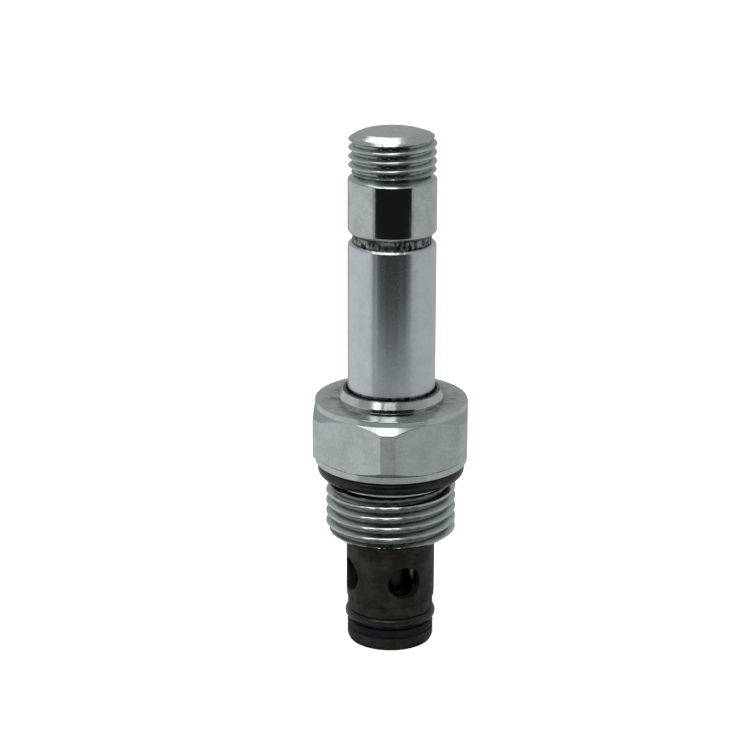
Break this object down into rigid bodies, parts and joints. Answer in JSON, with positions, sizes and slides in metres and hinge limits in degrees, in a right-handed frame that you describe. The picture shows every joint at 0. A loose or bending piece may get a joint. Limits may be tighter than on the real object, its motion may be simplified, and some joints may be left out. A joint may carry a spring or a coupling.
{
  "type": "cartridge valve",
  "caption": "Screw-in solenoid cartridge valve without its coil: threaded stud, guide tube, hexagon, threaded shank and a ported cage with a poppet.",
  "frame": {"origin": "centre of the seating face under the hexagon, the plane that meets the manifold", "axes": "+Z along the valve's axis from the nose to the coil stud; one corner of the hexagon faces -Y, turned 2.4 degrees toward -X"},
  "size_m": [0.0226, 0.0246, 0.0767],
  "materials": {
    "zinc_plate": "zinc plated, satin",
    "zinc_tube": "zinc plated, satin, drawn",
    "nitrile": "moulded, slightly glossy",
    "white_ptfe": "matte",
    "dark_polymer": "satin",
    "plain_iron": "turned",
    "shim_brass": "rolled sheet",
    "spring_steel": "drawn wire",
    "hard_steel": "hardened and ground",
    "phosphated_steel": "phosphated, oiled"
  },
  "bodies": {
    "valve_body": {"pole_piece": "zinc_plate", "pole_seal": "nitrile", "guide_tube": "zinc_tube", "tube_seal": "nitrile", "tube_backup_ring": "white_ptfe", "hex_adapter": "zinc_plate", "port_o_ring": "nitrile", "return_spring": "spring_steel", "cage": "phosphated_steel", "cage_seal": "nitrile", "seat_ring": "hard_steel", "nose_o_ring": "nitrile", "nose_backup_ring": "dark_polymer"},
    "armature": {"plunger": "plain_iron", "residual_shim": "shim_brass", "pilot_needle": "hard_steel"},
    "main_poppet": {"poppet": "hard_steel", "poppet_ring": "white_ptfe", "link_pin": "hard_steel"}
  },
  "joints": [
    {"name": "plunger_slide", "type": "slide", "parent": "valve_body", "child": "armature", "axis": [0, 0, 1], "range_m": [0, 0.0016], "stiffness_N_per_m": 900, "springref_m": -0.004, "deforming": ["return_spring"]},
    {"name": "poppet_slide", "type": "slide", "parent": "valve_body", "child": "main_poppet", "axis": [0, 0, 1], "range_m": [0, 0.0012]}
  ],
  "couplings": [
    {"joint": "poppet_slide", "follows": "plunger_slide", "ratio": 0.75}
  ]
}
